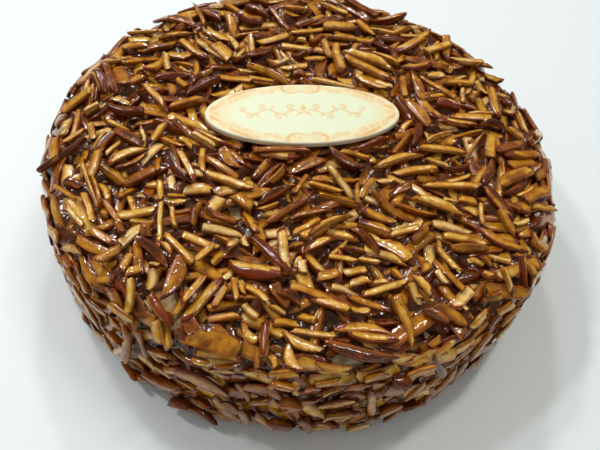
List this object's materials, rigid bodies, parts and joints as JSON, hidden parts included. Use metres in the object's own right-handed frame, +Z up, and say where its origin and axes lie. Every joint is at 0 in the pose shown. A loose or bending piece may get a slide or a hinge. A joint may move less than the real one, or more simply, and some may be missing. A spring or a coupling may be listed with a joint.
{
  "type": "genoise cake",
  "caption": "Round genoise cake covered all over in glossy caramelised almond slivers, with a thin oval white chocolate plaque lying on top.",
  "frame": {"origin": "middle of the cake's flat underside, on the table", "axes": "+Z up, +X along the plaque's length to the right as it is read, +Y towards the back"},
  "size_m": [0.1866, 0.1844, 0.0516],
  "materials": {
    "caramelised_almond": "glossy caramel on toasted almonds, golden to dark mahogany",
    "white_chocolate": "satin ivory with a golden printed scroll border"
  },
  "bodies": {
    "root": {"cake": "caramelised_almond", "plaque": "white_chocolate"}
  },
  "joints": []
}
